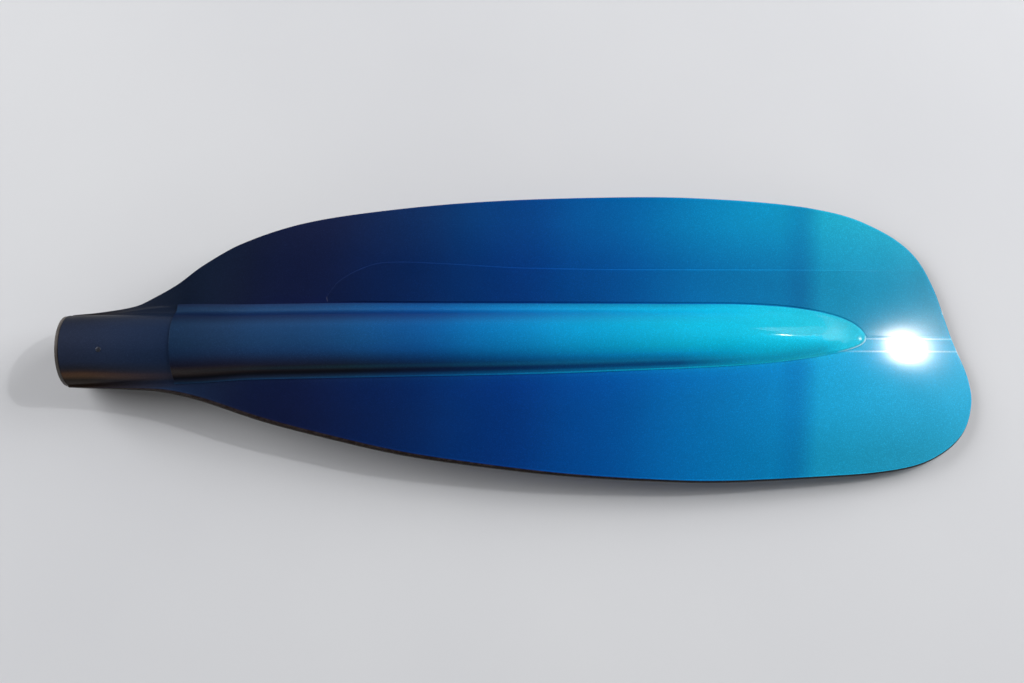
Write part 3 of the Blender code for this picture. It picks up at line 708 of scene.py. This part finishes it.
class Finish:
    """A material under construction, whose patterns lie on the piece's own coordinates."""

    def __init__(self, name, roughness, metallic=0.0, specular=0.5, coat_roughness=0.03):
        self.material = bpy.data.materials.new(name)
        self.material.use_nodes = True
        self.nodes, self.links = self.material.node_tree.nodes, self.material.node_tree.links
        self.shader = self.nodes["Principled BSDF"]
        self.set(self.shader, {
            "Roughness": roughness, "Metallic": metallic, "Specular IOR Level": specular,
            "Coat Roughness": coat_roughness,
        })
        self.place = self.nodes.new("ShaderNodeTexCoord").outputs["Object"]

    def set(self, node, values):
        """Puts each value on the node's socket, or links it where it is another node's output."""
        for socket, value in values.items():
            if isinstance(value, bpy.types.NodeSocket):
                self.links.new(value, node.inputs[socket])
            else:
                node.inputs[socket].default_value = value
        return node

    def along(self, low, high, lean=0.0):
        """0 at one x of the frame and 1 at another, on lines that lean towards the far side's tip."""
        direction = self.nodes.new("ShaderNodeVectorMath")
        direction.operation = "DOT_PRODUCT"
        self.links.new(self.place, direction.inputs[0])
        direction.inputs[1].default_value = (1, -lean, 0)
        return self.between(direction.outputs["Value"], low, high)

    def fading(self, low, high, end=0.0):
        """1 at one x of the frame, falling to an end value at another."""
        return self.between(self.along(low, high), 0, 1, 1, end)

    def across(self, low, high):
        """0 at one y of the frame and 1 at another."""
        y = self.set(self.nodes.new("ShaderNodeSeparateXYZ"), {"Vector": self.place}).outputs["Y"]
        return self.between(y, low, high)

    def calculated(self, operation, first, second):
        """An operation on two other nodes' outputs."""
        node = self.nodes.new("ShaderNodeMath")
        node.operation = operation
        self.links.new(first, node.inputs[0])
        self.links.new(second, node.inputs[1])
        return node.outputs["Value"]

    def times(self, first, second):
        return self.calculated("MULTIPLY", first, second)

    def sum(self, first, second):
        return self.calculated("ADD", first, second)

    def between(self, value, low, high, start=0.0, end=1.0):
        """Maps low..high to start..end and holds it there."""
        return self.set(self.nodes.new("ShaderNodeMapRange"), {
            "Value": value, "From Min": low, "From Max": high, "To Min": start, "To Max": end,
        }).outputs["Result"]

    def stretched(self, scale):
        """The piece's coordinates, stretched for a pattern that is longer one way than another."""
        mapping = self.nodes.new("ShaderNodeMapping")
        return self.set(mapping, {"Vector": self.place, "Scale": scale}).outputs["Vector"]

    def noise(self, scale, detail=3.0, place=None):
        """Cloudy noise from 0 to 1."""
        return self.set(self.nodes.new("ShaderNodeTexNoise"), {
            "Vector": place or self.place, "Scale": scale, "Detail": detail,
        }).outputs["Fac"]

    def flakes(self, scale):
        """A random value for each small cell."""
        cells = self.set(self.nodes.new("ShaderNodeTexVoronoi"), {"Vector": self.place, "Scale": scale})
        channels = self.set(self.nodes.new("ShaderNodeSeparateColor"), {"Color": cells.outputs["Color"]})
        return channels.outputs["Red"]

    def mark(self, name):
        """A value stored on the piece's points."""
        attribute = self.nodes.new("ShaderNodeAttribute")
        attribute.attribute_name = name
        return attribute.outputs["Fac"]

    def ramp(self, value, stops, smooth=False):
        """Blends stops by value, in straight lines or on a smooth curve that is held between 0 and 1."""
        node = self.set(self.nodes.new("ShaderNodeValToRGB"), {"Fac": value})
        node.color_ramp.interpolation = "CARDINAL" if smooth else "LINEAR"
        fill_ramp(node, stops)
        return node.outputs["Color"]

    def mixed(self, factor, first, second, blend="MIX"):
        """The first colour at a factor of 0, going over into the second one, or into their blend, at 1."""
        node = self.nodes.new("ShaderNodeMix")
        node.data_type = "RGBA"
        node.blend_type = blend
        for socket, value in ((node.inputs[0], factor), (node.inputs[6], first), (node.inputs[7], second)):
            if isinstance(value, bpy.types.NodeSocket):
                self.links.new(value, socket)
            else:
                socket.default_value = value
        return node.outputs[2]

    def toned(self, colour, factors):
        """A colour times another."""
        return self.mixed(1.0, colour, factors, "MULTIPLY")

    def bump(self, height, depth):
        """A relief of that depth in millimetres."""
        node = self.set(self.nodes.new("ShaderNodeBump"), {
            "Height": height, "Distance": depth * MM, "Strength": 1.0,
        })
        return node.outputs["Normal"]


def even_gloss(finish):
    """The coat's share on the power face, a little rubbed."""
    return finish.between(finish.noise(40, 4), 0.3, 0.7, 0.8, 1.0)


def crown_gloss(finish):
    """The coat's share across the spine: polished on the crown, dull in the hollows and on the nose's end."""
    across = finish.between(finish.mark("across"), -1, 1)
    crown = finish.ramp(across, grey_stops([
        (0.0, 0.2), (0.22, 0.2), (0.34, 1.0), (0.66, 1.0), (0.8, 0.4), (1.0, 0.6),
    ]))
    return finish.times(crown, finish.fading(*NOSE_DULLING, NOSE_COAT_SHARE))


def edge_gloss(finish):
    """The coat's share, which wears off towards the edge."""
    from_band = finish.between(finish.mark("from_band"), *BAND_RUBBING)
    return finish.ramp(from_band, grey_stops([(0.2, 0.05), (0.8, 1.0)]))


def ply_gloss(finish):
    """The coat's share on the ply, which is rubbed off its edge."""
    return finish.between(finish.mark("from_edge"), *PLY_RUBBING, 0.05, 1.0)


def blade_paint(name, stops, lean=0.0, layers=(), gloss=even_gloss):
    """Metallic paint under a gloss coat: a ramp along the blade, cloudiness, fine flake and faint wear.

    Each layer is a function that takes the finish and the colour so far and gives the next colour. The coat is
    thin and rubbed dull on the neck, and its share elsewhere comes from another such function.
    """
    finish = Finish(name, roughness=0.45, metallic=0.05, specular=0.03, coat_roughness=0.09)
    low, high = stops[0][0], stops[-1][0]
    place = finish.along(low * MM, high * MM, lean)
    colour = finish.ramp(place, colour_stops(stops, low, high), smooth=True)
    for layer in layers:
        colour = layer(finish, colour)
    cloud = finish.ramp(finish.noise(16, 4), grey_stops([(0.3, 0.94), (0.7, 1.06)]))
    grain = finish.ramp(finish.flakes(3000), grey_stops([(0.0, 0.88), (0.8, 1.03), (1.0, 1.3)]))
    coat = finish.between(finish.along(*NECK_COAT_END), 0, 1, NECK_COAT_SHARE * COAT, COAT)
    finish.set(finish.shader, {
        "Base Color": finish.toned(finish.toned(colour, cloud), grain),
        "Roughness": finish.between(finish.noise(60, 5), 0.3, 0.7, 0.38, 0.52),
        "Coat Weight": finish.times(coat, gloss(finish)),
        "Normal": finish.bump(finish.noise(1800, 2), 0.01),
    })
    return finish.material


def neck_painted_shade_and_reflection(finish, colour):
    """The neck's painted shade across its round, and a painted reflection of brown ground along both flanks,
    warm over the near one.

    The shade and the near flank's reflection fade out by the blade's root, and the far flank's soon after the
    mouth.
    """
    across = finish.between(finish.mark("across"), -NECK_REACH, NECK_REACH)
    toned = finish.toned(colour, finish.ramp(across, grey_stops(NECK_PAINTED_SHADE)))
    colour = finish.mixed(finish.fading(*NECK_SHADE_END), colour, toned)
    reflected_colour = finish.ramp(across, colour_stops(NECK_PAINTED_REFLECTION))
    near = finish.times(finish.fading(*NEAR_REFLECTION_END), finish.ramp(across, grey_stops(NEAR_REFLECTION_SHARE)))
    far = finish.times(finish.fading(*FAR_REFLECTION_END), finish.ramp(across, grey_stops(FAR_REFLECTION_SHARE)))
    return finish.mixed(far, finish.mixed(near, colour, reflected_colour), reflected_colour)


def panel_painted_light(finish, colour):
    """The panels' painted highlights: lighter in the hollow by the spine and by the far edge, and weaker at the
    tip.
    """
    across = finish.between(finish.mark("across"), -PANEL_REACH, PANEL_REACH)
    toned = finish.toned(colour, finish.ramp(across, factor_stops(PANEL_PAINTED_LIGHT)))
    weakening = finish.fading(*PANEL_LIGHT_WEAKENING, WEAK_PANEL_LIGHT)
    return finish.mixed(finish.times(finish.along(*PANEL_LIGHT_START), weakening), colour, toned)


def tip_painted_light(finish, colour):
    """Painted light across the tip: shade by the spine on its far side, a highlight on its near side."""
    across = finish.across(-TIP_REACH, TIP_REACH)
    toned = finish.toned(colour, finish.ramp(across, factor_stops(TIP_PAINTED_LIGHT)))
    return finish.mixed(finish.along(*TIP_LIGHT_START), colour, toned)


def painted_highlight_line(low, high):
    """A layer: a fine painted highlight line between two y of the frame, from the nose to the tip."""
    def line(finish, colour):
        shape = finish.ramp(finish.across(low, high), grey_stops([
            (0.2, 0.0), (0.45, 0.6), (0.55, 0.6), (0.8, 0.0),
        ]))
        stretch = finish.times(finish.along(*HIGHLIGHT_LINES_START), finish.fading(*HIGHLIGHT_LINES_END))
        return finish.mixed(finish.times(stretch, shape), colour, linear(*HIGHLIGHT_LINE_COLOUR))

    return line


def near_edge_painted_shade(finish, colour):
    """A dark band along the edge, chiefly by the near rim: painted shade with the look of bare resin, and a
    thin painted highlight beside it.
    """
    from_band = finish.between(finish.mark("from_band"), *SHADE_BAND_REACH)
    edge_highlight = finish.ramp(from_band, grey_stops([(0.5, 1.0), (0.6, 1.3), (0.68, 1.3), (0.85, 1.0)]))
    band_shade = finish.ramp(from_band, grey_stops([(0.36, 1.0), (0.5, 0.0)]))
    shade_strands = finish.ramp(finish.noise(420, 2), colour_stops([(0.42, (34, 25, 22)), (0.6, (50, 42, 42))]))
    return finish.mixed(band_shade, finish.toned(colour, edge_highlight), shade_strands)


def ply_edge_painted_highlight(finish, colour):
    """The ply's edge as a faint painted highlight, and its paint a little darker inside."""
    from_edge = finish.between(finish.mark("from_edge"), *PLY_HIGHLIGHT_REACH)
    return finish.toned(colour, finish.ramp(from_edge, grey_stops([(0.0, 1.2), (0.3, 1.45), (0.6, 0.95)])))


def spine_painted_shading(finish, colour):
    """The cap's painted shade and highlight across the spine: one set by the neck, one half way, one on the
    nose.
    """
    across = finish.between(finish.mark("across"), -1, 1)
    by_neck = finish.ramp(across, factor_stops(NECK_PAINTED_SHADING), smooth=True)
    halfway = finish.ramp(across, factor_stops(MIDDLE_PAINTED_SHADING), smooth=True)
    by_nose = finish.ramp(across, factor_stops(NOSE_PAINTED_SHADING))
    shades = finish.mixed(finish.along(*MIDDLE_SHADING_START), by_neck, halfway)
    shades = finish.mixed(finish.along(*NOSE_SHADING_START), shades, by_nose)
    return finish.toned(colour, shades)


def warm_painted_reflection(finish, colour):
    """The neck's painted warm reflection line, which runs on along the near flank and fades."""
    across = finish.between(finish.mark("across"), -1, 1)
    line = finish.ramp(across, grey_stops([(0.09, 0.0), (0.125, 0.75), (0.15, 0.75), (0.2, 0.0)]))
    return finish.mixed(finish.times(finish.fading(*WARM_REFLECTION_END), line), colour, linear(*WARM_REFLECTION))


def nose_painted_highlight(finish, colour):
    """A painted highlight along the cap's edge on the near side of the nose."""
    near_side = finish.between(finish.across(*NOSE_HIGHLIGHT_SIDE), 0, 1, 1, 0)
    stretch = finish.times(finish.along(*NOSE_HIGHLIGHT_START), near_side)
    highlight = finish.between(finish.mark("from_foot"), *NOSE_HIGHLIGHT_REACH, NOSE_HIGHLIGHT_SHARE, 0)
    return finish.mixed(finish.times(stretch, highlight), colour, linear(*NOSE_HIGHLIGHT))


def raw_edge(name):
    """The dark cut edge of the laminate: resin and fibre, satin, a little scuffed."""
    finish = Finish(name, roughness=0.45, specular=0.4)
    scuffs = finish.noise(900, 5)
    resin = [(0.35, (26, 20, 18)), (0.6, (44, 35, 31)), (0.75, (84, 72, 64))]
    finish.set(finish.shader, {
        "Base Color": finish.ramp(scuffs, colour_stops(resin)),
        "Roughness": finish.between(scuffs, 0.3, 0.7, 0.35, 0.6),
        "Normal": finish.bump(scuffs, 0.08),
    })
    return finish.material


def liner_plastic(name):
    """Moulded grey plastic with a fine spark-eroded grain."""
    finish = Finish(name, roughness=0.5, specular=0.4)
    grain = finish.noise(1400, 4)
    tint = colour_stops([(0.3, (62, 57, 55)), (0.7, (90, 84, 80))])
    finish.set(finish.shader, {
        "Base Color": finish.ramp(finish.noise(120, 4), tint),
        "Roughness": finish.between(grain, 0.3, 0.7, 0.42, 0.62),
        "Normal": finish.bump(grain, 0.03),
    })
    return finish.material


def pin_metal(name):
    """Brushed aluminium, dulled."""
    finish = Finish(name, roughness=0.4, metallic=1.0)
    brushing = finish.noise(300, 3, finish.stretched((1, 14, 1)))
    finish.set(finish.shader, {
        "Base Color": finish.ramp(brushing, colour_stops([(0.3, (60, 63, 74)), (0.7, (84, 88, 98))])),
        "Roughness": finish.between(brushing, 0.3, 0.7, 0.32, 0.5),
    })
    return finish.material


def foam(name):
    """Closed-cell foam: small round cells in relief."""
    finish = Finish(name, roughness=0.9, specular=0.2)
    tint = colour_stops([(0.3, (222, 212, 180)), (0.7, (236, 228, 202))])
    finish.set(finish.shader, {
        "Base Color": finish.ramp(finish.noise(200, 4), tint),
        "Normal": finish.bump(finish.flakes(900), 0.2),
    })
    return finish.material


def make_floor():
    """A wide pale floor that the blade lies on, which goes over into an even haze far off."""
    side = FLOOR_REACH
    data = bpy.data.meshes.new("studio_floor")
    corners = [(-side, -side, 0), (side, -side, 0), (side, side, 0), (-side, side, 0)]
    data.from_pydata(corners, [], [(0, 1, 2, 3)])
    floor = bpy.data.objects.new("studio_floor", data)
    floor.location.z = -FLOOR_DROP
    bpy.context.scene.collection.objects.link(floor)
    finish = Finish("floor_paint", roughness=0.8, specular=0.2)
    tint = colour_stops([(0.3, (215, 216, 220)), (0.7, (222, 223, 226))])
    finish.set(finish.shader, {"Base Color": finish.ramp(finish.noise(3, 4), tint)})
    distance = finish.nodes.new("ShaderNodeVectorMath")
    distance.operation = "LENGTH"
    finish.links.new(finish.place, distance.inputs[0])
    rays = finish.nodes.new("ShaderNodeLightPath").outputs
    seen = finish.sum(finish.sum(rays["Is Camera Ray"], rays["Is Glossy Ray"]), rays["Is Transmission Ray"])
    far = finish.times(seen, finish.between(distance.outputs["Value"], HAZE_START, HAZE_END))
    pale = (FAR_PALE, FAR_PALE, FAR_PALE, 1)
    haze = finish.set(finish.nodes.new("ShaderNodeEmission"), {"Color": pale})
    blend = finish.set(finish.nodes.new("ShaderNodeMixShader"), {"Fac": far})
    finish.links.new(finish.shader.outputs["BSDF"], blend.inputs[1])
    finish.links.new(haze.outputs["Emission"], blend.inputs[2])
    finish.links.new(blend.outputs["Shader"], finish.nodes["Material Output"].inputs["Surface"])
    data.materials.append(finish.material)


def make_sky():
    """A world that is pale by the horizon and dim overhead."""
    world = bpy.data.worlds.new("studio")
    world.use_nodes = True
    nodes, links = world.node_tree.nodes, world.node_tree.links
    direction = nodes.new("ShaderNodeSeparateXYZ")
    links.new(nodes.new("ShaderNodeTexCoord").outputs["Generated"], direction.inputs["Vector"])
    sky = nodes.new("ShaderNodeValToRGB")
    links.new(direction.outputs["Z"], sky.inputs["Fac"])
    fill_ramp(sky, grey_stops(SKY))
    links.new(sky.outputs["Color"], nodes["Background"].inputs["Color"])
    bpy.context.scene.world = world


def add_lamp(name, direction, distance, size, power):
    """A soft rectangular lamp in that direction from the blade, turned to it."""
    lamp = bpy.data.lights.new(name, "AREA")
    lamp.shape = "RECTANGLE"
    lamp.size, lamp.size_y = size
    lamp.energy = power
    holder = bpy.data.objects.new(name, lamp)
    direction = Vector(direction).normalized()
    holder.location = direction * distance
    holder.rotation_euler = direction.to_track_quat("Z", "Y").to_euler()
    holder.visible_camera = False
    bpy.context.scene.collection.objects.link(holder)


def make_camera():
    """The photograph's viewpoint: nearly overhead, a little from the near side, 680 mm from the blade."""
    azimuth, elevation = CAMERA_AZIMUTH, CAMERA_ELEVATION
    level = math.cos(elevation)
    toward = Vector((math.sin(azimuth) * level, -math.cos(azimuth) * level, math.sin(elevation)))
    right = Vector((math.cos(azimuth), math.sin(azimuth), 0))
    target = Vector(in_frame(*CAMERA_TARGET))
    data = bpy.data.cameras.new("camera")
    data.lens, data.sensor_width = LENS, SENSOR_WIDTH
    data.clip_start, data.clip_end = CLIP_START, CLIP_END
    camera = bpy.data.objects.new("camera", data)
    rotation = Matrix((right, toward.cross(right), toward)).transposed()
    camera.matrix_world = Matrix.Translation(target + CAMERA_DISTANCE * toward) @ rotation.to_4x4()
    bpy.context.scene.collection.objects.link(camera)
    bpy.context.scene.camera = camera


def main():
    bpy.context.scene.view_settings.view_transform = "Standard"
    make_camera()
    make_sky()
    for name, (direction, distance, size, power) in LAMPS.items():
        add_lamp(name, direction, distance, size, power)
    make_floor()
    edge = raw_edge("bare_edge")
    back_highlights = (painted_highlight_line(*NEAR_HIGHLIGHT_LINE), painted_highlight_line(*MIDDLE_HIGHLIGHT_LINE))
    back_layers = (neck_painted_shade_and_reflection, panel_painted_light, tip_painted_light, *back_highlights, near_edge_painted_shade)
    ply_layers = (tip_painted_light, ply_edge_painted_highlight, painted_highlight_line(*PLY_HIGHLIGHT_LINE))
    cap_layers = (spine_painted_shading, warm_painted_reflection, nose_painted_highlight)
    make_back_skin([blade_paint("back_paint", PANEL_STOPS, TONE_LEAN, back_layers, edge_gloss), edge])
    make_face_skin([blade_paint("face_paint", FACE_STOPS), edge])
    make_spine_cap([blade_paint("spine_paint", SPINE_STOPS, layers=cap_layers, gloss=crown_gloss)])
    make_reinforcing_ply([blade_paint("ply_paint", PANEL_STOPS, TONE_LEAN, ply_layers, ply_gloss)])
    make_edge_rope([raw_edge("rope_resin")])
    make_liner([liner_plastic("liner_plastic")])
    make_pin([pin_metal("pin_metal")])
    core_foam = foam("core_foam")
    for name in ("spine_core", "upper_core", "lower_core"):
        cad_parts[name].material_slots[0].material = core_foam


main()
